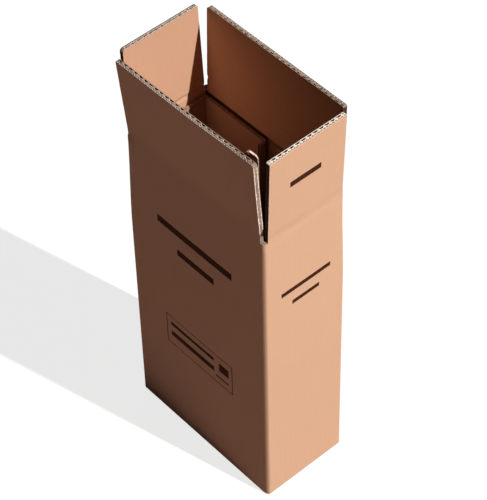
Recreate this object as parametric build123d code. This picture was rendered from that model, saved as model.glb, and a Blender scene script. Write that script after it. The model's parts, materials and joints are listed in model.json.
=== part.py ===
"""Shipping box for two wine bottles: a tall folded carton, its four top flaps and a folded insert.

Millimetres. X runs along the long side, Y along the short side, Z is up.
The origin is the centre of the base, on the surface that the box stands on.
"""

import os
from typing import NamedTuple

from build123d import *

# Carton, outside sizes
carton_length = 206.0
carton_width = 109.2
board = 5.0
upright_fold_radius = 4.0
base_fold_radius = 3.0
base_gap = 1.2
base_layers = 3

# Glued joint of the sheet's two ends: the left wall runs on as a lap inside the front wall
lap_width = 32.0
lap_groove_depth = 3.0

# Top flaps: length of the lowest one, how far their ends stand off the corners, most at the back left,
# and how far each leans out
right_flap_length = 109.3
long_flap_setback = 5.1
short_flap_play = 0.5
wide_long_setback = 6.3
wide_short_setback = 7.4
layer_gap = 0.3
crease_play = 0.15
worn_corner_radius = 3.5
cut_corner_radius = 1.5
front_lean_angle = 5.0
right_lean_angle = 2.2
back_lean_angle = 2.1
left_lean_angle = 3.0

# Double-wall board of the flaps: three liners with a fine and a coarse row of flutes between them
outer_liner = 0.6
middle_liner = 0.5
inner_liner = 0.5
fine_flute_height = 1.1
fine_flute_pitch = 3.75
fine_flute_web = 1.0
coarse_flute_pitch = 7.5
coarse_flute_web = 1.2
flute_end_margin = 1.2
crushed_crease_height = 14.0

# Insert, one folded sheet of single-wall board
insert_board = 3.0
insert_height = 385.0
insert_end_play = 1.8
insert_side_play = 2.8
insert_fold_radius = 2.5
tongue_width = 10.5
tongue_height = 120.0
tongue_corner_radius = 5.0
tongue_place = 23.5
partition_setoff = 5.0

# All cuts run past the faces by this much
overrun = 2.0

# Derived heights: the flaps close in the order right, left, front, back, one board above the other
insert_floor = base_layers * board
insert_top = insert_floor + insert_height
layer_step = board + layer_gap
right_crease = insert_top + layer_step
left_crease = right_crease + layer_step
front_crease = left_crease + layer_step
back_crease = front_crease + layer_step
slot_bottom = right_crease - crease_play
flap_edge_height = right_crease + right_flap_length

# Derived widths
half_length = carton_length / 2
half_width = carton_width / 2
inner_length = carton_length - 2 * board
inner_width = carton_width - 2 * board
short_flap_setback = board + short_flap_play


class TopFlap(NamedTuple):
    """How one top flap is cut and how it stands; its left and right are those of a viewer outside."""

    turn: float
    crease: float
    lean_angle: float
    left_setback: float
    right_setback: float
    left_radius: float
    right_radius: float

    def run(self):
        """Length of the crease."""
        wall = carton_length if self.turn % 180 == 0 else carton_width
        return wall - self.left_setback - self.right_setback

    def place(self, height):
        """Place on the wall's outer face, below the flap's middle: X along the wall, Y inwards, Z up."""
        reach = half_width if self.turn % 180 == 0 else half_length
        shift = (self.left_setback - self.right_setback) / 2
        return Location((0, 0, height), (0, 0, self.turn)) * Pos(shift, -reach, 0)


front = TopFlap(
    0, front_crease, front_lean_angle,
    long_flap_setback, long_flap_setback, cut_corner_radius, worn_corner_radius,
)
right = TopFlap(
    90, right_crease, right_lean_angle,
    short_flap_setback, short_flap_setback, cut_corner_radius, cut_corner_radius,
)
back = TopFlap(
    180, back_crease, back_lean_angle,
    long_flap_setback, wide_long_setback, cut_corner_radius, worn_corner_radius,
)
left = TopFlap(
    270, left_crease, left_lean_angle,
    wide_short_setback, short_flap_setback, cut_corner_radius, cut_corner_radius,
)


def crease_wedge(run):
    """Wedge that relieves the inner side of a wall or flap at its crease, so that the flap can fold in."""
    profile = Polygon((0, 0), (board + overrun, 0), (board + overrun, -board - overrun), align=None)
    return extrude(Plane.YZ * profile, amount=run / 2, both=True)


def upper_panel(top_flap):
    """Part of a wall that stands above the slots, up to its own crease."""
    rise = top_flap.crease - crease_play - slot_bottom
    panel = Pos(0, board / 2, rise / 2) * Box(top_flap.run(), board, rise)
    return top_flap.place(slot_bottom) * panel


def joint_groove():
    """Groove at the glued joint, between the front wall's cut end and the fold of the lap."""
    fold_x = upright_fold_radius - half_length
    fold_y = upright_fold_radius - inner_width / 2
    depth = lap_groove_depth + overrun
    corner_x = lap_groove_depth - half_length - depth / 2
    corner = Pos(corner_x, fold_y - upright_fold_radius / 2) * Rectangle(depth, upright_fold_radius)
    groove = corner - Pos(fold_x, fold_y) * Circle(upright_fold_radius)
    return extrude(Pos(0, 0, board) * groove, slot_bottom)


def carton_body():
    """Walls and glued bottom flaps of the carton, one folded sheet."""
    outline = Rectangle(carton_length, carton_width)
    joint_corner = Vector(-half_length, -half_width, 0)
    outline = fillet(outline.vertices().sort_by_distance(joint_corner)[1:], upright_fold_radius)
    block = extrude(outline, slot_bottom)
    base_edges = block.faces().sort_by(Axis.Z)[0].edges()
    block = fillet(base_edges, base_fold_radius)

    # Glued bottom: two full long flaps, the lowest with its free edge at the back, and the short flaps above
    room_height = slot_bottom - insert_floor + overrun
    room = Pos(0, 0, insert_floor + room_height / 2) * Box(inner_length, inner_width, room_height)
    back_gap = Pos(0, (inner_width - base_gap) / 2, 0) * Box(inner_length, base_gap, 2 * board)
    inner_seam = Pos(0, 0, insert_floor) * Box(base_gap, inner_width, 2 * board)
    body = block - room - back_gap - inner_seam
    for side in (-1, 1):
        end_gap = Pos(side * (inner_length - base_gap) / 2, 0, 0)
        body -= end_gap * Box(base_gap, inner_width, 2 * board)

    # The sheet's ends meet at the left of the front wall
    lap_x = (lap_width - inner_length) / 2
    lap_y = (board - inner_width) / 2
    body += Pos(lap_x, lap_y, insert_floor + insert_height / 2) * Box(lap_width, board, insert_height)
    body -= joint_groove()

    # Walls rise to four different creases, and each crease is crushed on its inner side
    for top_flap in (front, back, left):
        body += upper_panel(top_flap)
    for top_flap, run in (
        (front, front.run() + overrun),
        (back, back.run() + overrun),
        (left, left.run() + overrun),
        (right, inner_width),
    ):
        body -= top_flap.place(top_flap.crease - crease_play) * crease_wedge(run)
    return body


def flute_row(run, start, rise, pitch, web):
    """Open triangles of one flute row, between two liners, in the board's cut edge."""
    waves = int((run - 2 * flute_end_margin) / pitch)
    foot = (pitch - web) / 2
    tip = rise * (1 - web / pitch)
    cells = []
    for wave in range(waves):
        middle = (wave + 0.5 - waves / 2) * pitch
        low = Polygon((-foot, 0), (foot, 0), (0, tip), align=None)
        cells.append(Pos(middle, start) * low)
        if wave < waves - 1:
            high = Polygon((-foot, 0), (0, -tip), (foot, 0), align=None)
            cells.append(Pos(middle + pitch / 2, start + rise) * high)
    return cells


def flap(run, reach, left_radius, right_radius):
    """Flap that stands on its crease: X along the crease, Y inwards from the outer face, Z up."""
    low = crease_play
    sheet = Plane.XZ * Pos(0, (reach + low) / 2) * Rectangle(run, reach - low)
    blank = extrude(sheet, amount=-board)
    corner_edges = blank.edges().filter_by(Axis.Y).group_by(Axis.Z)[-1].sort_by(Axis.X)
    blank = fillet(corner_edges[0], left_radius)
    corner_edges = blank.edges().filter_by(Axis.Y).group_by(Axis.Z)[-1].sort_by(Axis.X)
    blank = fillet(corner_edges[-1], right_radius)

    relief = Pos(0, 0, low) * mirror(crease_wedge(run + overrun), about=Plane.XY)
    coarse_start = outer_liner + fine_flute_height + middle_liner
    coarse_height = board - inner_liner - coarse_start
    cells = flute_row(run, outer_liner, fine_flute_height, fine_flute_pitch, fine_flute_web)
    cells += flute_row(run, coarse_start, coarse_height, coarse_flute_pitch, coarse_flute_web)
    depth = reach - crushed_crease_height + overrun
    flutes = extrude(Pos(0, 0, crushed_crease_height) * Sketch(children=cells), depth)
    return blank - relief - flutes


def standing_flap(top_flap):
    """One top flap at rest, leaning out on its own crease."""
    reach = flap_edge_height - top_flap.crease
    sheet = flap(top_flap.run(), reach, top_flap.left_radius, top_flap.right_radius)
    return top_flap.place(top_flap.crease) * Rot(top_flap.lean_angle, 0, 0) * sheet


def bottle_insert():
    """Loose insert: one sheet folded in an S round the two bottles, with a tongue on its partition."""
    run_x = inner_length - 2 * insert_end_play
    run_y = inner_width - board - 2 * insert_side_play
    end_x = (run_x - insert_board) / 2
    side_y = (run_y - insert_board) / 2
    back_run = (run_x + insert_board) / 2 - partition_setoff
    front_run = (run_x + insert_board) / 2 + partition_setoff
    panels = [Pos(x, 0) * Rectangle(insert_board, run_y) for x in (-end_x, -partition_setoff, end_x)]
    panels.append(Pos((back_run - run_x) / 2, side_y) * Rectangle(back_run, insert_board))
    panels.append(Pos((run_x - front_run) / 2, -side_y) * Rectangle(front_run, insert_board))
    plan = panels[0] + panels[1:]
    corners = (
        (-run_x / 2, run_y / 2),
        (insert_board / 2 - partition_setoff, run_y / 2),
        (-insert_board / 2 - partition_setoff, -run_y / 2),
        (run_x / 2, -run_y / 2),
    )
    folds = [plan.vertices().sort_by_distance(Vector(x, y, 0))[0] for x, y in corners]
    plan = fillet(folds, insert_fold_radius)
    sheet = extrude(plan, insert_height)

    # The tongue is cut free on three sides and folded out at right angles to the partition
    tongue_middle = insert_height - tongue_height / 2
    window = Box(insert_board + overrun, tongue_width, tongue_height + overrun)
    window_y = tongue_place + tongue_width / 2
    sheet -= Pos(-partition_setoff, window_y, tongue_middle + overrun / 2) * window
    face = Rectangle(tongue_width + insert_board, tongue_height)
    free_corner = face.vertices().sort_by_distance(Vector(tongue_width, tongue_height, 0))[0]
    face = fillet(free_corner, tongue_corner_radius)
    tongue = extrude(Plane.XZ * face, amount=insert_board)
    sheet += Pos(tongue_width / 2 - partition_setoff, tongue_place, tongue_middle) * tongue

    # It stands by the back wall, clear of the glued lap
    return Pos(0, board / 2, insert_floor) * sheet


os.makedirs("parts", exist_ok=True)
export_step(carton_body(), "parts/carton_body.step")
export_step(bottle_insert(), "parts/bottle_insert.step")
for name, top_flap in (("front", front), ("right", right), ("back", back), ("left", left)):
    export_step(standing_flap(top_flap), f"parts/{name}_flap.step")
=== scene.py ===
import json
import math

import bmesh
import bpy
from bpy.props import FloatProperty, FloatVectorProperty, PointerProperty
from mathutils import Matrix, Vector, noise


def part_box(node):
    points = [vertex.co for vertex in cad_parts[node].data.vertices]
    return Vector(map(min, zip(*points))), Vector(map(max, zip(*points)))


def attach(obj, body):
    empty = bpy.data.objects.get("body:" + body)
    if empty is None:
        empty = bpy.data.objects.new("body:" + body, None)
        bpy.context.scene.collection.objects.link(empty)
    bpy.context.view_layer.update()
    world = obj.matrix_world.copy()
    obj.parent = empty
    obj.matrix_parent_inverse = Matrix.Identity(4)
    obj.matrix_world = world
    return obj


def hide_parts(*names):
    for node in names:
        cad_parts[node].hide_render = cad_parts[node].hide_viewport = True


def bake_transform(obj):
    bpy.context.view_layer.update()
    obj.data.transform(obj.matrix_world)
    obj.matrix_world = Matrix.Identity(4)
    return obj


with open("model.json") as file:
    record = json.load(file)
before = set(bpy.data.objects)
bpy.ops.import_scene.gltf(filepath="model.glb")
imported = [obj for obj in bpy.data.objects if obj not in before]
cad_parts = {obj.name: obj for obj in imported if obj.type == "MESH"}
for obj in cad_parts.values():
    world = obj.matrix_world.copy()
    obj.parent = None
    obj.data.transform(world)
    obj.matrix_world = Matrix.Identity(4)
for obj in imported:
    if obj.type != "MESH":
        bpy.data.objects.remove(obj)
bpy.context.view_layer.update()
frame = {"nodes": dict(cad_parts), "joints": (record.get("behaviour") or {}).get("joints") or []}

bl_info = {
    "name": "Wine shipping box",
    "version": (1, 0, 0),
    "blender": (4, 5, 0),
    "location": "View3D > Sidebar > Wine box",
    "description": "Dresses the box for two bottles in corrugated board and sets its stage",
    "category": "Object",
}

UP = Vector((0, 0, 1))
WHITE = (1, 1, 1, 1)
QUARTER_TURN = math.radians(90)
SHARP_ANGLE = math.radians(35)
FLAPS = ("front_flap", "right_flap", "back_flap", "left_flap")

# Slots of a board's finishes, each followed by that of its cut edge
# The flute slot's near-black finish is painted shade inside the board: on the flutes, the middle liner, the
# liners' sides facing the flutes and some flap ends. The crushed slot is partly crushed board, partly
# painted shade of open flutes and of ends in shade.
OUTER, FLUTE_SHADE, INNER, CRUSHED_AND_SHADED = 0, 2, 4, 6
CUT_EDGE = OUTER + 1

# The insert has the same liner on both sides, so there the inner slot is its tongue's edge
TONGUE_EDGE = INNER

# Finishes across each flap's cut face: outer liner, middle and inner liner
# The left flap's outer band in the flute finish is painted shade of its fine flutes; the front and back
# flaps' crushed finish is partly crushed board, partly painted shade of their open flutes.
CUT_FINISHES = {
    "front_flap": (CRUSHED_AND_SHADED, CRUSHED_AND_SHADED, CRUSHED_AND_SHADED),
    "right_flap": (OUTER, CUT_EDGE, CUT_EDGE),
    "back_flap": (CRUSHED_AND_SHADED, CRUSHED_AND_SHADED, CRUSHED_AND_SHADED),
    "left_flap": (FLUTE_SHADE, CRUSHED_AND_SHADED, CUT_EDGE),
}

# Tolerances for merging points, for cutting corners and for telling that a point lies on a face
MERGE_DISTANCE = 1e-6
CORNER_TOLERANCE = 1e-7
FACE_TOLERANCE = 1e-5

# How far the dressed flaps and their creases end inside the solids
EDGE_CLEARANCE = 0.0002


class BoardSettings(bpy.types.PropertyGroup):
    """Sizes of the corrugated board."""

    board: FloatProperty(
        name="Board", description="Thickness of the double-wall board", default=0.005, unit="LENGTH")
    paper: FloatProperty(
        name="Paper", description="Thickness of a liner or flute paper", default=0.00045, unit="LENGTH")
    fine_gap: FloatProperty(
        name="Fine row", description="From the outer liner to the middle one", default=0.0018, unit="LENGTH")
    fine_pitch: FloatProperty(
        name="Fine pitch", description="Length of a fine flute", default=0.00375, unit="LENGTH")
    coarse_pitch: FloatProperty(
        name="Coarse pitch", description="Length of a coarse flute", default=0.0075, unit="LENGTH")
    trim: FloatProperty(
        name="Trim", description="From a cut edge to the ends of the papers in it",
        default=0.0003, unit="LENGTH")
    crease_play: FloatProperty(
        name="Crease play", description="Half of the gap at a crease", default=0.00015, unit="LENGTH")
    cut_radius: FloatProperty(
        name="Cut corner", description="Radius of a sharp corner of a flap", default=0.0015, unit="LENGTH")
    worn_radius: FloatProperty(
        name="Worn corner", description="Radius of a worn corner of a flap", default=0.0035, unit="LENGTH")
    skin: FloatProperty(
        name="Skin", description="From a flap's faces to its cut face", default=0.00002, unit="LENGTH")
    outer_rim: FloatProperty(
        name="Outer rim", description="Width of the outer liner in the cut face",
        default=0.0004, unit="LENGTH")
    inner_rim: FloatProperty(
        name="Inner rim", description="Width of the inner liner in the cut face",
        default=0.0008, unit="LENGTH")
    fine_opening: FloatProperty(
        name="Fine opening", description="Height of a fine flute's opening", default=0.0013, unit="LENGTH")
    coarse_opening: FloatProperty(
        name="Coarse opening", description="Height of a coarse flute's opening",
        default=0.0019, unit="LENGTH")
    # The left flap's dark outer band is painted shade of its fine flutes.
    shaded_rim: FloatProperty(
        name="Crushed rim", description="Width of the dark outer part of the left flap's cut face",
        default=0.0013, unit="LENGTH")
    crushed_opening: FloatProperty(
        name="Crushed opening", description="Height of a coarse flute's opening in the left flap",
        default=0.0015, unit="LENGTH")
    fray: FloatProperty(
        name="Fray", description="How far cut edges stray from a line", default=0.0003, unit="LENGTH")
    warp: FloatProperty(
        name="Warp", description="How far a flap bends in from its plane", default=0.0002, unit="LENGTH")
    hollow: FloatProperty(
        name="Hollow", description="How far the front flap's right end bends in",
        default=0.0017, unit="LENGTH")
    fold_radius: FloatProperty(
        name="Upright fold", description="Outer radius of the carton's upright folds",
        default=0.004, unit="LENGTH")
    soft_fold: FloatProperty(
        name="Soft fold", description="How far the front right fold runs into the front wall",
        default=0.0085, unit="LENGTH")
    bow: FloatProperty(
        name="Bow", description="How far the middle of a long wall bows out", default=0.001, unit="LENGTH")
    pinch: FloatProperty(
        name="Pinch", description="How far an upright fold is pressed in below its slot",
        default=0.0018, unit="LENGTH")


class InsertSettings(bpy.types.PropertyGroup):
    """Sizes of the folded insert."""

    board: FloatProperty(
        name="Board", description="Thickness of the single-wall board", default=0.003, unit="LENGTH")
    paper: FloatProperty(
        name="Paper", description="Thickness of a liner or flute paper", default=0.0004, unit="LENGTH")
    pitch: FloatProperty(
        name="Pitch", description="Length of a flute", default=0.0062, unit="LENGTH")
    fold_radius: FloatProperty(
        name="Fold", description="Radius of the sheet's middle at a fold", default=0.0017, unit="LENGTH")
    partition: FloatProperty(
        name="Partition", description="Place of the partition along the box", default=-0.005, unit="LENGTH")
    tongue_place: FloatProperty(
        name="Tongue place", description="Back of the tongue, across the box", default=0.026, unit="LENGTH")
    tongue_width: FloatProperty(
        name="Tongue width", description="From the partition to the tongue's free edge",
        default=0.0105, unit="LENGTH")
    tongue_height: FloatProperty(
        name="Tongue height", description="From the tongue's foot to its top", default=0.12, unit="LENGTH")
    tongue_radius: FloatProperty(
        name="Tongue corner", description="Radius of the tongue's free corner", default=0.005, unit="LENGTH")


class ColourSettings(bpy.types.PropertyGroup):
    """Colours of the papers and the ink."""

    kraft: FloatVectorProperty(
        name="Kraft", description="Outer liner of the carton",
        default=(0.613, 0.381, 0.254), subtype="COLOR", min=0, max=1)
    inner: FloatVectorProperty(
        name="Inner", description="Inner liner of the carton",
        default=(0.57, 0.328, 0.213), subtype="COLOR", min=0, max=1)
    # Near black: painted shade in the flutes and behind the cut faces, darker than the paper's own colour.
    flute: FloatVectorProperty(
        name="Flute", description="Paper of the flutes",
        default=(0.06, 0.03, 0.018), subtype="COLOR", min=0, max=1)
    edge: FloatVectorProperty(
        name="Cut edge", description="Fibres at a cut",
        default=(0.94, 0.78, 0.69), subtype="COLOR", min=0, max=1)
    # Dark and strongly mottled: partly crushed board, partly painted shade of open flutes and of flap and
    # wall ends in shade.
    crushed: FloatVectorProperty(
        name="Crushed", description="Board at a crushed end",
        default=(0.36, 0.255, 0.20), subtype="COLOR", min=0, max=1)
    # Darker than the carton's liners partly as painted shade, for the insert standing in the box's shaded
    # inside.
    insert: FloatVectorProperty(
        name="Insert", description="Liner of the insert",
        default=(0.40, 0.236, 0.165), subtype="COLOR", min=0, max=1)
    ink: FloatVectorProperty(
        name="Ink", description="Printed marks",
        default=(0.040, 0.011, 0.003), subtype="COLOR", min=0, max=1)


class StageSettings(bpy.types.PropertyGroup):
    """Camera and lights."""

    camera_place: FloatVectorProperty(
        name="Camera", description="Place of the camera",
        default=(1.15496, -0.98862, 1.95030), subtype="XYZ", unit="LENGTH")
    camera_azimuth: FloatProperty(
        name="Azimuth", description="Way round the box", default=math.radians(49.185), subtype="ANGLE")
    camera_elevation: FloatProperty(
        name="Elevation", description="Angle above the floor", default=math.radians(47.770), subtype="ANGLE")
    camera_roll: FloatProperty(
        name="Roll", description="Tilt of the picture", default=math.radians(-1.522), subtype="ANGLE")
    lens: FloatProperty(
        name="Lens", description="Focal length in millimetres", default=158.01)
    key_power: FloatProperty(
        name="Key", description="Power of the main lamp in watts", default=8400.0)
    ambient: FloatVectorProperty(
        name="Ambient", description="Light from all round",
        default=(0.004, 0.003, 0.0028), subtype="COLOR", min=0, max=1)


class BoxSettings(bpy.types.PropertyGroup):
    """All settings of the box."""

    board: PointerProperty(type=BoardSettings)
    insert: PointerProperty(type=InsertSettings)
    colour: PointerProperty(type=ColourSettings)
    stage: PointerProperty(type=StageSettings)


def flap_joint(flap):
    """Joint that a flap turns on."""
    return next(joint for joint in frame["joints"] if joint["child"] == flap)


class Crease:
    """Where a flap stands on its wall: X along the crease, Y inwards from the outer face, Z up."""

    def __init__(self, flap, thickness):
        joint = flap_joint(flap)
        low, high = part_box(flap)
        axis = Vector(joint["axis"])
        inwards = UP.cross(axis)
        middle = Vector(joint["pos_m"])
        middle += axis * axis.dot((low + high) / 2 - middle)
        size = high - low
        self.run = abs(size.dot(axis))
        self.body = flap
        self.wall = Matrix.Translation(middle) @ Matrix((axis, inwards, UP)).transposed().to_4x4()
        outermost = max((corner - middle).dot(-inwards) for corner in (low, high))
        rise = high.z - middle.z
        lean = math.atan2(outermost, rise)
        self.lean = math.atan2(outermost, rise - thickness * math.sin(lean))
        self.reach = outermost / math.sin(self.lean) - EDGE_CLEARANCE
        self.flap = self.wall @ Matrix.Rotation(self.lean, 4, "X")


def soft_step(share):
    """Smooth rise from 0 to 1."""
    share = min(max(share, 0), 1)
    return share * share * (3 - 2 * share)


def mesh_data(name, mesh):
    """Mesh data from a bmesh, which is freed."""
    data = bpy.data.meshes.new(name)
    mesh.to_mesh(data)
    mesh.free()
    return data


def add_object(name, data):
    """New object at the origin."""
    made = bpy.data.objects.new(name, data)
    bpy.context.scene.collection.objects.link(made)
    return made


def shape_piece(name, mesh, materials):
    """Object made from a bmesh, with its finishes."""
    data = mesh_data(name, mesh)
    for material in materials:
        data.materials.append(material)
    piece = add_object(name, data)
    return piece


def shade_piece(piece):
    """Smooth shading, with edges left sharp."""
    piece.data.shade_smooth()
    piece.data.set_sharp_from_angle(angle=SHARP_ANGLE)


def thicken(piece, thickness):
    """Gives open sheets the thickness of paper, with the cut edge's finish on their rims."""
    paper = piece.modifiers.new("Paper", "SOLIDIFY")
    paper.thickness = thickness
    paper.offset = 0
    paper.material_offset_rim = 1
    graph = bpy.context.evaluated_depsgraph_get()
    data = bpy.data.meshes.new_from_object(piece.evaluated_get(graph))
    piece.modifiers.clear()
    thin = piece.data
    piece.data = data
    bpy.data.meshes.remove(thin)
    data.name = piece.name
    shade_piece(piece)


def round_corner(mesh, middle, side, radius, cuts):
    """Cuts a rounded upper corner about a middle into all papers of a mesh, with side -1 or 1 along X."""
    for cut in range(cuts):
        angle = QUARTER_TURN * (cut + 0.5) / cuts
        out = Vector((side * math.cos(angle), 0, math.sin(angle)))
        bmesh.ops.bisect_plane(
            mesh, geom=mesh.verts[:] + mesh.edges[:] + mesh.faces[:], dist=CORNER_TOLERANCE,
            plane_co=middle + out * radius, plane_no=out, clear_outer=True,
        )


def slice_mesh(mesh, axis, places):
    """Adds edges to a mesh where level planes cross it."""
    normal = Vector((axis == "X", axis == "Y", axis == "Z"))
    for place in places:
        bmesh.ops.bisect_plane(
            mesh, geom=mesh.verts[:] + mesh.edges[:] + mesh.faces[:], dist=MERGE_DISTANCE,
            plane_co=normal * place, plane_no=normal,
        )


# Sockets of a colour Mix node
COLOUR_A, COLOUR_B, COLOUR_RESULT = 6, 7, 2


def feed(tree, socket, value):
    """Links an output to a socket, or sets the socket to a plain value."""
    if isinstance(value, bpy.types.NodeSocket):
        tree.links.new(value, socket)
    else:
        socket.default_value = value


def node(tree, kind, inputs=None, **settings):
    """Adds a node, sets its options and feeds its inputs."""
    made = tree.nodes.new(kind)
    for name, value in settings.items():
        setattr(made, name, value)
    for name, value in (inputs or {}).items():
        feed(tree, made.inputs[name], value)
    return made


def calc(tree, operation, *values):
    """Adds a Math node and returns its result."""
    made = node(tree, "ShaderNodeMath", operation=operation)
    for socket, value in zip(made.inputs, values):
        feed(tree, socket, value)
    return made.outputs[0]


def mix_colours(tree, factor, first, second):
    """Mixes two colours and returns the result."""
    made = node(tree, "ShaderNodeMix", {"Factor": factor}, data_type="RGBA")
    feed(tree, made.inputs[COLOUR_A], first)
    feed(tree, made.inputs[COLOUR_B], second)
    return made.outputs[COLOUR_RESULT]


def speckle(tree, place, scale, detail):
    """Noise at so many spots a metre."""
    inputs = {"Vector": place, "Scale": scale, "Detail": detail, "Roughness": 0.6}
    return node(tree, "ShaderNodeTexNoise", inputs).outputs["Fac"]


def shift(colour, factor):
    """A lighter or darker version of a colour, with full alpha."""
    return tuple(min(1.0, value * factor) for value in colour) + (1.0,)


# Plain printed bars as (middle, height, length, thickness), on the front wall and on the right wall and flap
FRONT_BARS = (
    (-0.0023, 0.3197, 0.1135, 0.0100),
    (-0.0012, 0.2903, 0.0563, 0.0090),
    (-0.0017, 0.1743, 0.1053, 0.0011),
    (-0.0017, 0.1300, 0.1053, 0.0011),
    (-0.0539, 0.1521, 0.0011, 0.0443),
    (0.0504, 0.1521, 0.0011, 0.0443),
    (-0.0125, 0.1637, 0.0690, 0.0050),
    (-0.0125, 0.1480, 0.0690, 0.0075),
    (0.0375, 0.1580, 0.0150, 0.0130),
    (0.0345, 0.1407, 0.0200, 0.0025),
)
RIGHT_BARS = (
    (0.0008, 0.3145, 0.0663, 0.0058),
    (0.0005, 0.2953, 0.0367, 0.0055),
    (-0.0022, 0.4678, 0.0400, 0.0072),
)


def uneven(tree, place, scale, width):
    """Noise of a given width about zero."""
    return calc(tree, "MULTIPLY_ADD", speckle(tree, place, scale, 2), width, -width / 2)


def beyond(tree, value, coordinate, limit):
    """A value where a coordinate is over a limit, 0 elsewhere."""
    return calc(tree, "MULTIPLY", value, calc(tree, "GREATER_THAN", coordinate, limit))


def bar_mask(tree, along, height, bars):
    """1 inside any of the bars, 0 outside."""
    mask = 0.0
    for middle, level, length, thickness in bars:
        across = calc(tree, "ABSOLUTE", calc(tree, "SUBTRACT", along, middle))
        upright = calc(tree, "ABSOLUTE", calc(tree, "SUBTRACT", height, level))
        inside = calc(tree, "LESS_THAN", across, length / 2)
        inside = calc(tree, "MULTIPLY", inside, calc(tree, "LESS_THAN", upright, thickness / 2))
        mask = calc(tree, "MAXIMUM", mask, inside)
    return mask


def print_bars(tree, place, part, fibres, paper, ink):
    """Colour of the paper with the bars printed on the front and the right, a little uneven."""
    front_y, right_x = -0.052, 0.1015
    stray = uneven(tree, place, scale=700, width=0.0009)
    height = calc(tree, "ADD", part["Z"], stray)
    front = bar_mask(tree, calc(tree, "ADD", part["X"], stray), height, FRONT_BARS)
    front = calc(tree, "MULTIPLY", front, calc(tree, "LESS_THAN", part["Y"], front_y))
    right = bar_mask(tree, calc(tree, "ADD", part["Y"], stray), height, RIGHT_BARS)
    right = beyond(tree, right, part["X"], right_x)
    cover = calc(tree, "MULTIPLY_ADD", fibres, -0.4, 1.2)
    printed = calc(tree, "MULTIPLY", calc(tree, "MAXIMUM", front, right), cover)
    return mix_colours(tree, printed, paper, shift(ink, 1))


def crease_shade_line(tree, place, part, paper, colour):
    """Colour of the paper with a near-black line of painted shade on the back wall's inner face, for the
    crease groove and the gap behind the insert, weaker to the right.
    """
    shade_level, slope, peak, limit = 0.3992, 600.0, 2.1, 0.93
    back_y, weak_x, weakening = 0.048, -0.005, 0.35
    level = calc(tree, "SUBTRACT", part["Z"], shade_level)
    level = calc(tree, "ADD", level, uneven(tree, place, scale=60, width=0.002))
    line = calc(tree, "MULTIPLY_ADD", calc(tree, "ABSOLUTE", level), -slope, peak)
    line = calc(tree, "MINIMUM", calc(tree, "MAXIMUM", line, 0.0), limit)
    line = beyond(tree, line, part["Y"], back_y)
    weak = calc(tree, "GREATER_THAN", part["X"], weak_x)
    line = calc(tree, "MULTIPLY", line, calc(tree, "MULTIPLY_ADD", weak, -weakening, 1.0))
    return mix_colours(tree, line, paper, shift(colour, 0.05))


def crease_valley(tree, place, part, height):
    """Height of the paper with the soft, patchy valley along the right crease."""
    slope, depth, right_x = 95.0, 14.0, 0.1
    level = flap_joint("right_flap")["pos_m"][2]
    flat = node(tree, "ShaderNodeMapping", {"Vector": place, "Scale": (0.4, 0.4, 1)}).outputs[0]
    patches = calc(tree, "MULTIPLY_ADD", speckle(tree, flat, 60, 1), 2.4, -0.5)
    off = calc(tree, "ABSOLUTE", calc(tree, "SUBTRACT", part["Z"], level))
    valley = calc(tree, "MAXIMUM", calc(tree, "MULTIPLY_ADD", off, -slope, 1.0), 0.0)
    valley = beyond(tree, valley, part["X"], right_x)
    return calc(tree, "MULTIPLY_ADD", calc(tree, "MULTIPLY", valley, patches), -depth, height)


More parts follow.
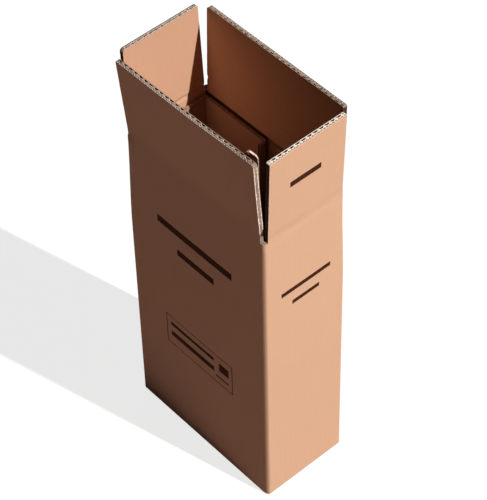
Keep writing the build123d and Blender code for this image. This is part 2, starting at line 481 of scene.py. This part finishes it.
def paper_material(name, colour, contrast=0.05, stretch=3.5, washboard=0.0, ink=None, crease_shaded=False):
    """Brown paper: fibres, clouds and flecks in its tone, and the flutes showing faintly through it.

    With an ink it is the carton's outside, with its prints and the valley at the right crease. Paper with
    crease shade is the inside, with a line of painted shade on the back wall.
    """
    fibre_share, mottle_share, cloud_share = 0.55, 0.2, 0.25
    material = bpy.data.materials.new(name)
    material.use_nodes = True
    tree = material.node_tree
    shader = tree.nodes["Principled BSDF"]
    shader.inputs["Specular IOR Level"].default_value = 0.05
    place = node(tree, "ShaderNodeTexCoord").outputs["Object"]
    part = node(tree, "ShaderNodeSeparateXYZ", {"Vector": place}).outputs
    stretched = node(tree, "ShaderNodeMapping", {"Vector": place, "Scale": (1, 1, stretch)}).outputs[0]
    fibres = speckle(tree, stretched, scale=620, detail=5)
    mottle = speckle(tree, stretched, scale=90, detail=3)
    clouds = speckle(tree, place, scale=9, detail=2)
    flecks = calc(tree, "GREATER_THAN", speckle(tree, stretched, scale=1500, detail=1), 0.72)

    tone = calc(tree, "MULTIPLY_ADD", mottle, mottle_share, calc(tree, "MULTIPLY", fibres, fibre_share))
    tone = calc(tree, "MULTIPLY_ADD", clouds, cloud_share, tone)
    pitch = bpy.context.scene.wine_box.board.coarse_pitch
    along = calc(tree, "ADD", part["X"], part["Y"])
    stripes = calc(tree, "SINE", calc(tree, "MULTIPLY", along, math.tau / pitch))
    tone = calc(tree, "MULTIPLY_ADD", stripes, 0.012 * washboard, tone)
    ramp = node(tree, "ShaderNodeValToRGB", {"Fac": tone})
    dark, light = ramp.color_ramp.elements
    dark.position, light.position = 0.3, 0.7
    dark.color = shift(colour, 1 - contrast)
    light.color = shift(colour, 1 + contrast * 0.8)
    result = mix_colours(tree, calc(tree, "MULTIPLY", flecks, 0.2), ramp.outputs[0], shift(colour, 0.6))
    if ink is not None:
        result = print_bars(tree, place, part, fibres, result, ink)
    if crease_shaded:
        # Line of painted shade along the back wall's crease.
        result = crease_shade_line(tree, place, part, result, colour)
    tree.links.new(result, shader.inputs["Base Color"])

    rough = calc(tree, "MULTIPLY_ADD", mottle, 0.15, 0.78)
    tree.links.new(rough, shader.inputs["Roughness"])
    height = calc(tree, "MULTIPLY_ADD", stripes, 0.25 * washboard, calc(tree, "MULTIPLY", fibres, 0.5))
    height = calc(tree, "MULTIPLY_ADD", mottle, 0.6, height)
    if ink is not None:
        height = crease_valley(tree, place, part, height)
    bump = node(tree, "ShaderNodeBump", {"Height": height, "Distance": 0.00012, "Strength": 0.4})
    tree.links.new(bump.outputs[0], shader.inputs["Normal"])
    return material


def finishes():
    """All finishes of the box by name, made once."""
    if "printed_kraft" not in bpy.data.materials:
        colour = bpy.context.scene.wine_box.colour
        paper_material("printed_kraft", colour.kraft, washboard=1.0, ink=colour.ink)
        paper_material("plain_kraft", colour.inner, washboard=1.0, crease_shaded=True)
        # Near-black flute paper: painted shade inside the board.
        paper_material("flute_shade_paper", colour.flute, contrast=0.2)
        paper_material("cut_edge", colour.edge, contrast=0.15, stretch=1)
        paper_material("insert_kraft", colour.insert, washboard=0.8)
        # Crushed board, dark and mottled partly as painted shade of open flutes and of ends in shade.
        paper_material("crushed_and_shaded_board", colour.crushed, contrast=0.95, stretch=1)
    return bpy.data.materials


def board_finishes():
    """Finishes of the double-wall board's slots, each paper followed by its cut edge."""
    made = finishes()
    edge = made["cut_edge"]
    crushed = made["crushed_and_shaded_board"]
    papers = [made["printed_kraft"], edge, made["flute_shade_paper"], edge, made["plain_kraft"], edge]
    return papers + [crushed, crushed]


def insert_finishes():
    """Finishes of the insert's slots: liner, flute and the tongue's edge, each followed by its rim's."""
    made = finishes()
    brown = made["insert_kraft"]
    flute = made["flute_shade_paper"]
    # The insert's cut edges take its brown liner, as painted shade on edges in shade; only the sunlit
    # tongue's edge is pale cut edge.
    return [brown, brown, flute, brown, made["cut_edge"], flute]


def flap_layers(board):
    """Papers of the double-wall board: middle depth, swing of its waves, their pitch and the finish."""
    outer = board.paper / 2
    middle = outer + board.fine_gap
    inner = board.board - outer
    fine_swing = (middle - outer) / 2 - board.paper
    coarse_swing = (inner - middle) / 2 - board.paper
    return (
        (outer, 0.0, board.coarse_pitch, OUTER),
        # The fine and coarse flutes and the middle liner take the near-black finish that paints shade inside
        # the board.
        ((outer + middle) / 2, fine_swing, board.fine_pitch, FLUTE_SHADE),
        (middle, 0.0, board.coarse_pitch, FLUTE_SHADE),
        ((middle + inner) / 2, coarse_swing, board.coarse_pitch, FLUTE_SHADE),
        (inner, 0.0, board.coarse_pitch, INNER),
    )


def corner_radius(name, side, board):
    """Radius of a flap's upper corner; all but the right flap are worn at their right, seen from outside."""
    return board.worn_radius if side == 1 and name != "right_flap" else board.cut_radius


def end_strip(mesh, side, crease, radius, board, finish):
    """Uneven board that closes the flutes at one end of a flap. In the crushed finish it has ragged pale
    rims; in the flute finish it is plain near-black painted shade.
    """
    uneven_share, raggedness = 0.6, 0.0012
    made = bmesh.ops.create_grid(mesh, x_segments=14, y_segments=170, size=0.5)["verts"]
    for vert in made:
        depth = board.skin + (vert.co.x + 0.5) * (board.board - 2 * board.skin)
        low = board.crease_play + depth + board.paper
        share = vert.co.y + 0.5
        stray = noise.noise(Vector((depth * 900, share * 60, side)))
        inset = board.trim * (1 + uneven_share * stray)
        vert.co = (side * (crease.run / 2 - inset), depth, low + share * (crease.reach - radius - low))
    for face in {face for vert in made for face in vert.link_faces}:
        middle = face.calc_center_median()
        ragged = raggedness * noise.noise(Vector((middle.z * 1100, middle.y * 300, side)))
        from_face = min(middle.y, board.board - middle.y)
        pale = finish == CRUSHED_AND_SHADED and from_face < board.inner_rim + ragged
        face.material_index = CUT_EDGE if pale else finish


def flute_opening(place, pitch, width, seed):
    """Share of its full height that a flute's opening has at a place along the cut edge."""
    stray_share, spread_share = 0.12, 0.35
    number = math.floor(place / pitch)
    middle_share = 0.5 + stray_share * noise.noise(Vector((number * 7.3, seed, 0.5)))
    spread = 1 + spread_share * noise.noise(Vector((number * 3.1, seed, 5.5)))
    across = abs(place - (number + middle_share) * pitch) / (width / 2 * spread)
    return math.cos(QUARTER_TURN * across) ** 0.5 if across < 1 else 0.0


def free_edge(crease, radii, spacing, arc_steps=4):
    """Stations along a flap's free edge and its corners: place, direction out and if flutes open there."""
    stations = []
    for side, radius in zip((-1, 1), radii):
        middle = Vector((side * (crease.run / 2 - radius), 0, crease.reach - radius))
        arc = []
        for step in range(arc_steps + 1):
            angle = QUARTER_TURN * (1 - step / arc_steps)
            out = Vector((side * math.sin(angle), 0, math.cos(angle)))
            arc.append((middle + out * radius, out, False))
        if side == 1:
            first = stations[-1][0].x
            length = arc[-1][0].x - first
            count = round(length / spacing)
            for step in range(1, count):
                place = Vector((first + length * step / count, 0, crease.reach))
                stations.append((place, UP, True))
            arc.reverse()
        stations += arc
    return stations


def cut_face(mesh, crease, radii, board, seed, finishes_across):
    """Cut face of a flap's free edge: crushed liners with the openings of both rows of flutes, and on the
    left flap a near-black outer band of painted shade.
    """
    width_share, depth_share, stations_to_a_flute = 0.9, 0.85, 16
    shaded_outside = finishes_across[0] == FLUTE_SHADE
    outer_rim = board.shaded_rim if shaded_outside else board.outer_rim
    coarse_opening = board.crushed_opening if shaded_outside else board.coarse_opening
    fine_width = board.fine_pitch * width_share
    coarse_width = board.coarse_pitch * width_share
    inner_edge = board.board - board.inner_rim
    rows = []
    for place, out, opens in free_edge(crease, radii, board.coarse_pitch / stations_to_a_flute):
        fine = coarse = 0.0
        if opens:
            fine = board.fine_opening * flute_opening(place.x, board.fine_pitch, fine_width, seed)
            coarse = coarse_opening * flute_opening(place.x, board.coarse_pitch, coarse_width, seed)
        depths = [
            board.skin, outer_rim, outer_rim + fine,
            inner_edge - coarse, inner_edge, board.board - board.skin,
        ]
        spot = place - out * (board.trim * depth_share)
        row = [mesh.verts.new(spot + Vector((0, depth, 0))) for depth in depths]
        if fine == 0:
            mesh.verts.remove(row[2])
            row[2] = row[1]
        if coarse == 0:
            mesh.verts.remove(row[3])
            row[3] = row[4]
        rows.append(row)
    for first, second in zip(rows, rows[1:]):
        for low, finish in zip((0, 2, 4), finishes_across):
            face = mesh.faces.new((first[low], second[low], second[low + 1], first[low + 1]))
            face.material_index = finish


def flap_papers(mesh, crease, board):
    """Three liners of a flap and two rows of flutes between them, ending a little inside its cut edges."""
    run = crease.run - 2 * board.trim
    reach = crease.reach - board.trim
    for depth, swing, pitch, slot in flap_layers(board):
        steps_to_a_flute = 12 if swing else 3
        crest_power = 2.5 if pitch == board.coarse_pitch else 1.0
        steps = round(run / pitch) * steps_to_a_flute
        made = bmesh.ops.create_grid(mesh, x_segments=steps, y_segments=20, size=0.5)["verts"]
        for vert in made:
            along = vert.co.x * run
            share = vert.co.y + 0.5
            crest = (1 + math.cos(math.tau * along / pitch)) / 2
            wave = swing * (2 * crest ** crest_power - 1)
            low = board.crease_play + depth + wave + board.paper
            vert.co = (along, depth + wave, low + share * (reach - low))
        for face in {face for vert in made for face in vert.link_faces}:
            face.material_index = slot


def fray_papers(name, mesh, crease, board):
    """Lets the papers' upper edges end unevenly, in the same way each run."""
    start_share, spots = 0.9, 900
    noise.seed_set(1)
    for vert in mesh.verts:
        if vert.is_boundary and vert.co.z > start_share * crease.reach:
            stray = noise.noise_vector(vert.co * spots + Vector((0, 0, len(name))))
            vert.co.z -= board.fray * abs(stray.z)


def bend_flap(name, mesh, crease, board):
    """Warps a flap inwards, most at its top, and hollows the front flap's right end."""
    waves_along, waves_up, bend_power = 4, 0.8, 1.5
    hollow_start, hollow_run = -0.02, 0.5
    for vert in mesh.verts:
        share = vert.co.z / crease.reach
        along = vert.co.x / crease.run
        swell = noise.noise(Vector((along * waves_along, len(name), share * waves_up)))
        bend = board.warp * (0.5 + 0.5 * swell)
        if name == "front_flap":
            bend += board.hollow * soft_step((along - hollow_start) / hollow_run)
        vert.co.y += bend * share ** bend_power


def flap_piece(name, crease, board):
    """One top flap: corrugated papers with a cut face along the free edge; its ends are crushed board on the
    front flap and near-black painted shade on the others.
    """
    facing_share = 0.5
    mesh = bmesh.new()
    flap_papers(mesh, crease, board)
    sides = (-1, 1)
    radii = [corner_radius(name, side, board) for side in sides]
    for side, radius in zip(sides, radii):
        middle = Vector((side * (crease.run / 2 - radius), 0, crease.reach - radius))
        round_corner(mesh, middle, side, radius - board.trim, cuts=5)
    fray_papers(name, mesh, crease, board)
    # The front flap's ends are crushed board; the other flaps' ends get the near-black flute finish as
    # painted shade.
    finish = CRUSHED_AND_SHADED if name == "front_flap" else FLUTE_SHADE
    for side, radius in zip(sides, radii):
        end_strip(mesh, side, crease, radius, board, finish)
    cut_face(mesh, crease, radii, board, len(name), CUT_FINISHES[name])
    bend_flap(name, mesh, crease, board)
    bmesh.ops.transform(mesh, matrix=crease.flap, verts=mesh.verts)
    piece = shape_piece(name + "_board", mesh, board_finishes())
    thicken(piece, board.paper)

    # The sides of the outer and inner liner that face the flutes get the flutes' near-black finish, as
    # painted shade inside the board
    inwards = crease.flap.col[1].to_3d()
    for face in piece.data.polygons:
        inner_side = face.normal.dot(inwards)
        if face.material_index == OUTER and inner_side > facing_share:
            face.material_index = FLUTE_SHADE
        if face.material_index == INNER and inner_side < -facing_share:
            face.material_index = FLUTE_SHADE
    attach(piece, crease.body)
    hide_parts(name)
    return piece


class BOX_OT_flaps(bpy.types.Operator):
    """Builds the four top flaps with their open flutes"""

    bl_idname = "wine_box.flaps"
    bl_label = "Top flaps"

    def execute(self, context):
        board = context.scene.wine_box.board
        for name in FLAPS:
            flap_piece(name, Crease(name, board.board), board)
        return {"FINISHED"}


def bend_piece(name, crease, mesh, half_band):
    """Places a liner across a crease: with the wall below a band, with the flap above it, bent in it."""
    for vert in mesh.verts:
        share = soft_step((vert.co.z + half_band) / (2 * half_band))
        vert.co = crease.wall @ Matrix.Rotation(crease.lean * share, 4, "X") @ vert.co
    bmesh.ops.recalc_face_normals(mesh, faces=mesh.faces)
    piece = shape_piece(name, mesh, board_finishes())
    shade_piece(piece)
    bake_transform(piece)


def sweep_ring(mesh, ring, stations, closed):
    """Carries a section of (depth, height) points along X; a closed one gets end caps."""
    rows = [[mesh.verts.new((along, depth, height)) for depth, height in ring] for along in stations]
    count = len(ring)
    for low, high in zip(rows, rows[1:]):
        for place in range(count if closed else count - 1):
            after = (place + 1) % count
            face = mesh.faces.new((low[place], low[after], high[after], high[place]))
            face.material_index = INNER if closed else OUTER
    if closed:
        # Their end caps take the near-black flute finish, as painted shade inside the board.
        for row in (rows[0], rows[-1]):
            mesh.faces.new(row).material_index = FLUTE_SHADE


def outer_fold(name, crease, stations):
    """Strip of liner over a crease's outer side, swollen in places, with its ends in the board."""
    reach, count, sink, rise, swell = 0.003, 6, 0.00002, 0.00014, 0.00022
    steps = [reach * (place / count - 1) for place in range(2 * count + 1)]
    ring = [(sink - rise * (1 - (height / reach) ** 2), height) for height in steps]
    mesh = bmesh.new()
    sweep_ring(mesh, ring, stations, False)
    for vert in mesh.verts:
        spot = noise.noise(Vector((vert.co.x * 45, len(name), vert.co.z * 300)))
        vert.co.y -= swell * max(spot, 0) * (1 - (vert.co.z / reach) ** 2)
    bend_piece(name + "_outer_fold", crease, mesh, half_band=0.002)


def inner_fold(name, crease, stations, board):
    """Crushed board on a crease's inner side: it has the crease's groove and tucks in at its ends."""
    overlap, count, foot, standoff = 0.0018, 8, 0.0004, 0.00006
    groove_depth, groove_share, tuck_depth = 0.0011, 0.8, 0.0001
    reach = board.board + overlap
    ring = [(foot, 0.0)]
    for place in range(2 * count + 1):
        height = reach * (place / count - 1)
        groove = groove_depth * soft_step(1 - abs(height) / (board.board * groove_share))
        tuck = tuck_depth * soft_step((abs(height) - board.board) / overlap)
        ring.append((board.board + standoff - groove - tuck, height))
    mesh = bmesh.new()
    sweep_ring(mesh, ring, stations, True)
    bend_piece(name + "_inner_fold", crease, mesh, half_band=board.board + 0.0003)


class BOX_OT_creases(bpy.types.Operator):
    """Builds the liners that bend at the flaps' creases"""

    bl_idname = "wine_box.creases"
    bl_label = "Creases"

    def execute(self, context):
        board = context.scene.wine_box.board
        spacing = 0.006
        for name in FLAPS:
            crease = Crease(name, board.board)
            ends = crease.run / 2 - EDGE_CLEARANCE
            count = round(crease.run / spacing)
            stations = [ends * (2 * place / count - 1) for place in range(count + 1)]
            outer_fold(name, crease, stations)
            inner_fold(name, crease, stations, board)
        return {"FINISHED"}


def carton_finish(face, half, board, slot_level):
    """Slot of a face of the carton: outer liner, inner liner, cut edge or crushed end."""
    # The crushed finish on the slot bottoms and on the wall ends at the slots is partly crushed board,
    # partly painted shade.
    crushed_shade_depth, side_share, end_share = 0.006, 0.3, 0.7
    middle = face.calc_center_median()
    if middle.z > slot_level - crushed_shade_depth and face.normal.z > side_share:
        return CRUSHED_AND_SHADED
    if middle.x < -half.x + FACE_TOLERANCE and middle.y < board.board - half.y:
        return CUT_EDGE
    if middle.z > slot_level:
        on_long_wall = abs(middle.y) > half.y - board.board - FACE_TOLERANCE
        if abs(face.normal.x if on_long_wall else face.normal.y) > end_share:
            return CRUSHED_AND_SHADED
    out = Vector((0, 0, 0))
    if abs(middle.x) > half.x - board.fold_radius:
        out.x = math.copysign(1, middle.x)
    if abs(middle.y) > half.y - board.fold_radius:
        out.y = math.copysign(1, middle.y)
    outside = face.normal.dot(out) > side_share or face.normal.z < -side_share
    return OUTER if outside else INNER


def slice_walls(mesh, half, board, slot_level):
    """Adds the edges that the walls need to bow and to fold softly."""
    margin, spacing, lowest, rows, fold_steps = 0.0006, 0.011, 0.0036, 36, 10
    edge = board.fold_radius + margin
    for axis, reach in (("X", half.x), ("Y", half.y)):
        count = round((reach - edge) / spacing)
        slice_mesh(mesh, axis, [(reach - edge) * (place / count - 1) for place in range(2 * count + 1)])
    rise = slot_level - 0.004
    slice_mesh(mesh, "Z", [lowest + place * rise / rows for place in range(rows)])
    start = half.x - board.soft_fold
    slice_mesh(mesh, "X", [start + place * board.soft_fold / fold_steps for place in range(fold_steps)])


def fold_ease(x, half, board):
    """How far the front wall draws in at its right fold, beyond the round of the fold itself."""
    along = max(x - half.x + board.soft_fold, 0) / board.soft_fold
    corner = max(x - half.x + board.fold_radius, 0) / board.fold_radius
    soft = 1 - math.sqrt(max(1 - along * along, 0))
    plain = 1 - math.sqrt(max(1 - corner * corner, 0))
    return board.fold_radius * max(soft - plain, 0)


def form_walls(mesh, half, board, slot_level):
    """Bows the walls out, softens the front right fold and pinches two corners below their slots."""
    short_wall_share, fold_fade, pinch_margin, pinch_run = 0.5, 0.02, 0.001, 0.13
    for vert in mesh.verts:
        x, y, z = vert.co
        rise = math.sin(math.pi * min(max(z / slot_level, 0), 1))
        if abs(y) > half.y - board.board - FACE_TOLERANCE:
            across = max(math.cos(math.pi / 2 * x / (half.x - board.board)), 0)
            vert.co.y += math.copysign(board.bow * rise * across, y)
        if abs(x) > half.x - board.board - FACE_TOLERANCE:
            across = max(math.cos(math.pi / 2 * y / (half.y - board.board)), 0)
            vert.co.x += math.copysign(board.bow * short_wall_share * rise * across, x)
        if y < board.fold_radius - half.y + FACE_TOLERANCE:
            vert.co.y += fold_ease(x, half, board) * soft_step((slot_level - z) / fold_fade)
        corner = min(abs(x) - half.x, abs(y) - half.y) + board.board + pinch_margin
        if corner > 0 and x * y > 0:
            press = soft_step(corner / board.board) * soft_step((z - slot_level) / pinch_run + 1)
            vert.co.x -= math.copysign(board.pinch * press, x)
            vert.co.y -= math.copysign(board.pinch * press, y)


class BOX_OT_carton(bpy.types.Operator):
    """Builds the carton's walls and bottom"""

    bl_idname = "wine_box.carton"
    bl_label = "Carton"

    def execute(self, context):
        board = context.scene.wine_box.board
        source = frame["nodes"]["carton_body"]
        mesh = bmesh.new()
        mesh.from_mesh(source.data)
        mesh.transform(source.matrix_world)
        bmesh.ops.remove_doubles(mesh, verts=mesh.verts, dist=MERGE_DISTANCE)
        low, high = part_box("carton_body")
        half = (high - low) / 2
        slot_level = min(joint["pos_m"][2] for joint in frame["joints"]) - board.crease_play
        slice_walls(mesh, half, board, slot_level)
        bmesh.ops.recalc_face_normals(mesh, faces=mesh.faces)
        for face in mesh.faces:
            face.material_index = carton_finish(face, half, board, slot_level)
        form_walls(mesh, half, board, slot_level)
        piece = shape_piece("carton_board", mesh, board_finishes())
        shade_piece(piece)
        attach(piece, "carton")
        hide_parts("carton_body")
        return {"FINISHED"}


def fold_path(corners, radius, bends=5):
    """Points of a line through the corners, with rounded folds."""
    points = []
    for place, corner in enumerate(corners):
        if place in (0, len(corners) - 1):
            points.append(corner)
            continue
        before = (corners[place - 1] - corner).normalized()
        after = (corners[place + 1] - corner).normalized()
        middle = corner + (before + after) * radius
        for bend in range(bends + 1):
            angle = QUARTER_TURN * bend / bends
            points.append(middle - after * radius * math.cos(angle) - before * radius * math.sin(angle))
    return points


def along_path(points, spacing):
    """Evenly fine points on a line, each with its distance from the start and its normal to the left."""
    steps = [second - first for first, second in zip(points, points[1:])]
    normals = [Vector((-step.y, step.x)).normalized() for step in steps]
    turns = [normals[0]] + [(a + b).normalized() for a, b in zip(normals, normals[1:])] + [normals[-1]]
    found = [(0.0, points[0], turns[0])]
    done = 0.0
    for number, step in enumerate(steps):
        count = max(1, math.ceil(step.length / spacing))
        for place in range(1, count + 1):
            share = place / count
            normal = turns[number + 1] if place == count else normals[number]
            found.append((done + step.length * share, points[number] + step * share, normal))
        done += step.length
    return found


def corrugated_sheets(mesh, points, low, high, insert, rows):
    """Two liners with one row of flutes between them, standing on a folded line."""
    gap = (insert.board - insert.paper) / 2
    for depth, swing in ((-gap, 0.0), (0.0, gap - insert.paper), (gap, 0.0)):
        columns = []
        points_to_a_flute = 10 if swing else 2
        for distance, place, normal in along_path(points, insert.pitch / points_to_a_flute):
            offset = depth + swing * math.cos(math.tau * distance / insert.pitch)
            spot = place + normal * offset
            columns.append([
                mesh.verts.new((spot.x, spot.y, low + (high - low) * row / rows)) for row in range(rows + 1)
            ])
        for left, right in zip(columns, columns[1:]):
            for row in range(rows):
                face = mesh.faces.new((left[row], right[row], right[row + 1], left[row + 1]))
                face.material_index = FLUTE_SHADE if swing else OUTER


def insert_edge(mesh, points, top, insert):
    """Cut face along the insert's top: its liners with the openings of the flutes."""
    width_share, depth_share, points_to_a_flute = 0.7, 0.6, 12
    half = insert.board / 2
    rim = 2 * insert.paper
    width = insert.pitch * width_share
    level = top - depth_share * insert.paper
    rows = []
    for distance, place, normal in along_path(points, insert.pitch / points_to_a_flute):
        opening = 2 * insert.paper * flute_opening(distance, insert.pitch, width, 1)
        depths = (-half, rim - half, rim - half + opening, half)
        spots = [place + normal * depth for depth in depths]
        row = [mesh.verts.new((spot.x, spot.y, level)) for spot in spots]
        if opening == 0:
            mesh.verts.remove(row[2])
            row[2] = row[1]
        rows.append(row)
    for first, second in zip(rows, rows[1:]):
        for low, high in ((0, 1), (2, 3)):
            face = mesh.faces.new((first[low], second[low], second[high], first[high]))
            # In the insert this slot is its brown liner: painted shade on the shaded top edge.
            face.material_index = CUT_EDGE


def cut_window(mesh, foot, insert):
    """Takes the tongue's place out of the partition."""
    end = insert.tongue_place + insert.tongue_width
    slice_mesh(mesh, "Y", (insert.tongue_place, end))
    slice_mesh(mesh, "Z", (foot,))
    gone = []
    for face in mesh.faces:
        middle = face.calc_center_median()
        inside = insert.tongue_place < middle.y < end and middle.z > foot
        if inside and abs(middle.x - insert.partition) < insert.board:
            gone.append(face)
    bmesh.ops.delete(mesh, geom=gone, context="FACES")


def tongue_edge(mesh, root, tip, foot, top, level, insert, steps=6):
    """Crushed board that closes the tongue's top and free edge."""
    radius = insert.tongue_radius
    middle = Vector((tip - radius, level, top - radius))
    line = [Vector((root, level, top))]
    for step in range(steps + 1):
        angle = QUARTER_TURN * (1 - step / steps)
        line.append(middle + Vector((math.cos(angle), 0, math.sin(angle))) * radius)
    line.append(Vector((tip, level, foot)))
    half = insert.board / 2 - insert.paper
    rows = []
    for place in line:
        inset = (place - middle).normalized() * insert.paper / 2
        rows.append([mesh.verts.new(place - inset + Vector((0, side * half, 0))) for side in (-1, 1)])
    for first, second in zip(rows, rows[1:]):
        mesh.faces.new((first[0], first[1], second[1], second[0])).material_index = TONGUE_EDGE


def add_tongue(mesh, foot, top, insert):
    """Adds the tongue to the sheet's mesh, folded out at right angles to the partition."""
    tongue = bmesh.new()
    skin = insert.board / 2
    level = insert.tongue_place - skin
    root = insert.partition - skin + insert.fold_radius
    tip = insert.partition - skin + insert.tongue_width + insert.board
    ends = [Vector((root, level)), Vector((tip, level))]
    corrugated_sheets(tongue, ends, foot, top, insert, rows=8)
    middle = Vector((tip - insert.tongue_radius, 0, top - insert.tongue_radius))
    round_corner(tongue, middle, 1, insert.tongue_radius, cuts=6)
    tongue_edge(tongue, root, tip, foot, top, level, insert)
    part = mesh_data("tongue", tongue)
    mesh.from_mesh(part)
    bpy.data.meshes.remove(part)


class BOX_OT_insert(bpy.types.Operator):
    """Builds the folded insert with its tongue"""

    bl_idname = "wine_box.insert"
    bl_label = "Insert"

    def execute(self, context):
        insert = context.scene.wine_box.insert
        low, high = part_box("bottle_insert")
        skin = insert.board / 2
        left, right = low.x + skin, high.x - skin
        front, back = low.y + skin, high.y - skin
        corners = [Vector(place) for place in (
            (left, low.y), (left, back), (insert.partition, back),
            (insert.partition, front), (right, front), (right, high.y),
        )]
        mesh = bmesh.new()
        line = fold_path(corners, insert.fold_radius)
        corrugated_sheets(mesh, line, low.z, high.z, insert, rows=30)
        insert_edge(mesh, line, high.z, insert)
        foot = high.z - insert.tongue_height
        cut_window(mesh, foot, insert)
        add_tongue(mesh, foot, high.z, insert)
        piece = shape_piece("insert_board", mesh, insert_finishes())
        thicken(piece, insert.paper)
        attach(piece, "carton")
        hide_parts("bottle_insert")
        return {"FINISHED"}


def add_lamp(name, power, direction, distance, size, colour):
    """Round lamp that shines at the box."""
    target = Vector((0, 0, 0.25))
    lamp = bpy.data.lights.new(name, "AREA")
    lamp.shape = "DISK"
    lamp.size = size
    lamp.energy = power
    lamp.color = colour
    held = add_object(name, lamp)
    out = Vector(direction).normalized()
    held.location = target + out * distance
    held.rotation_euler = out.to_track_quat("Z", "Y").to_euler()


def seen_directly(tree):
    """1 for rays that show the background: from the camera, off gloss or through glass."""
    path = node(tree, "ShaderNodeLightPath").outputs
    gloss = calc(tree, "MAXIMUM", path["Is Glossy Ray"], path["Is Transmission Ray"])
    return calc(tree, "MAXIMUM", path["Is Camera Ray"], gloss)


def mix_shaders(tree, factor, first, second):
    """Mixes two shader nodes and returns the result."""
    made = node(tree, "ShaderNodeMixShader", {"Fac": factor})
    tree.links.new(first.outputs[0], made.inputs[1])
    tree.links.new(second.outputs[0], made.inputs[2])
    return made


def floor_material():
    """White floor that keeps the box's shadow and throws a brown light back on the box."""
    material = bpy.data.materials.new("pale_floor")
    material.use_nodes = True
    tree = material.node_tree
    tree.nodes.remove(tree.nodes["Principled BSDF"])
    bounce = node(tree, "ShaderNodeBsdfDiffuse", {"Color": (0.36, 0.26, 0.243, 1)})
    pale = node(tree, "ShaderNodeBsdfDiffuse", {"Color": (0.85, 0.85, 0.85, 1)})
    glow = node(tree, "ShaderNodeEmission", {"Color": WHITE, "Strength": 1.1})
    shown = mix_shaders(tree, 0.72, pale, glow)
    mix = mix_shaders(tree, seen_directly(tree), bounce, shown)
    tree.links.new(mix.outputs[0], tree.nodes["Material Output"].inputs["Surface"])
    return material


def add_floor():
    """Floor that the box stands on."""
    mesh = bmesh.new()
    bmesh.ops.create_grid(mesh, x_segments=1, y_segments=1, size=8)
    floor = add_object("floor", mesh_data("floor", mesh))
    floor.data.materials.append(floor_material())


def add_world(light):
    """White background with a faint light from all round."""
    world = bpy.data.worlds.new("studio")
    world.use_nodes = True
    bpy.context.scene.world = world
    tree = world.node_tree
    ambient = tree.nodes["Background"]
    ambient.inputs["Color"].default_value = tuple(light) + (1,)
    white = node(tree, "ShaderNodeBackground", {"Color": WHITE, "Strength": 1})
    mix = mix_shaders(tree, seen_directly(tree), ambient, white)
    tree.links.new(mix.outputs[0], tree.nodes["World Output"].inputs["Surface"])


def add_camera(stage):
    """Camera with the photo's view."""
    lens = bpy.data.cameras.new("camera")
    lens.lens = stage.lens
    lens.sensor_width = 36
    camera = add_object("camera", lens)
    turn = Matrix.Rotation(stage.camera_azimuth, 4, "Z")
    tilt = Matrix.Rotation(QUARTER_TURN - stage.camera_elevation, 4, "X")
    roll = Matrix.Rotation(stage.camera_roll, 4, "Z")
    camera.matrix_world = Matrix.Translation(stage.camera_place) @ turn @ tilt @ roll
    bpy.context.scene.camera = camera


class BOX_OT_stage(bpy.types.Operator):
    """Sets the floor, the lamps and the camera"""

    bl_idname = "wine_box.stage"
    bl_label = "Stage"

    def execute(self, context):
        stage = context.scene.wine_box.stage
        add_floor()
        add_world(stage.ambient)
        add_lamp(
            "key_lamp", stage.key_power,
            direction=(1, 0.255, 0.95), distance=24.0, size=0.3, colour=(1.0, 0.97, 0.93),
        )
        add_lamp(
            "back_lamp", 7.0,
            direction=(-1, 0.9, 0.35), distance=3.0, size=1.6, colour=(1.0, 0.95, 0.9),
        )
        context.scene.view_settings.view_transform = "Standard"
        add_camera(stage)
        return {"FINISHED"}


class BOX_PT_panel(bpy.types.Panel):
    """Lists the pieces of the box"""

    bl_idname = "BOX_PT_panel"
    bl_label = "Wine box"
    bl_space_type = "VIEW_3D"
    bl_region_type = "UI"
    bl_category = "Wine box"

    def draw(self, context):
        for operator in OPERATORS:
            self.layout.operator(operator.bl_idname)


OPERATORS = (BOX_OT_carton, BOX_OT_flaps, BOX_OT_creases, BOX_OT_insert, BOX_OT_stage)
SETTINGS = (BoardSettings, InsertSettings, ColourSettings, StageSettings, BoxSettings)
CLASSES = (*SETTINGS, *OPERATORS, BOX_PT_panel)


def register():
    for cls in CLASSES:
        bpy.utils.register_class(cls)
    bpy.types.Scene.wine_box = PointerProperty(type=BoxSettings)


def unregister():
    del bpy.types.Scene.wine_box
    for cls in reversed(CLASSES):
        bpy.utils.unregister_class(cls)


def main():
    register()
    bpy.ops.wine_box.carton()
    bpy.ops.wine_box.flaps()
    bpy.ops.wine_box.creases()
    bpy.ops.wine_box.insert()
    bpy.ops.wine_box.stage()


if __name__ == "__main__":
    main()
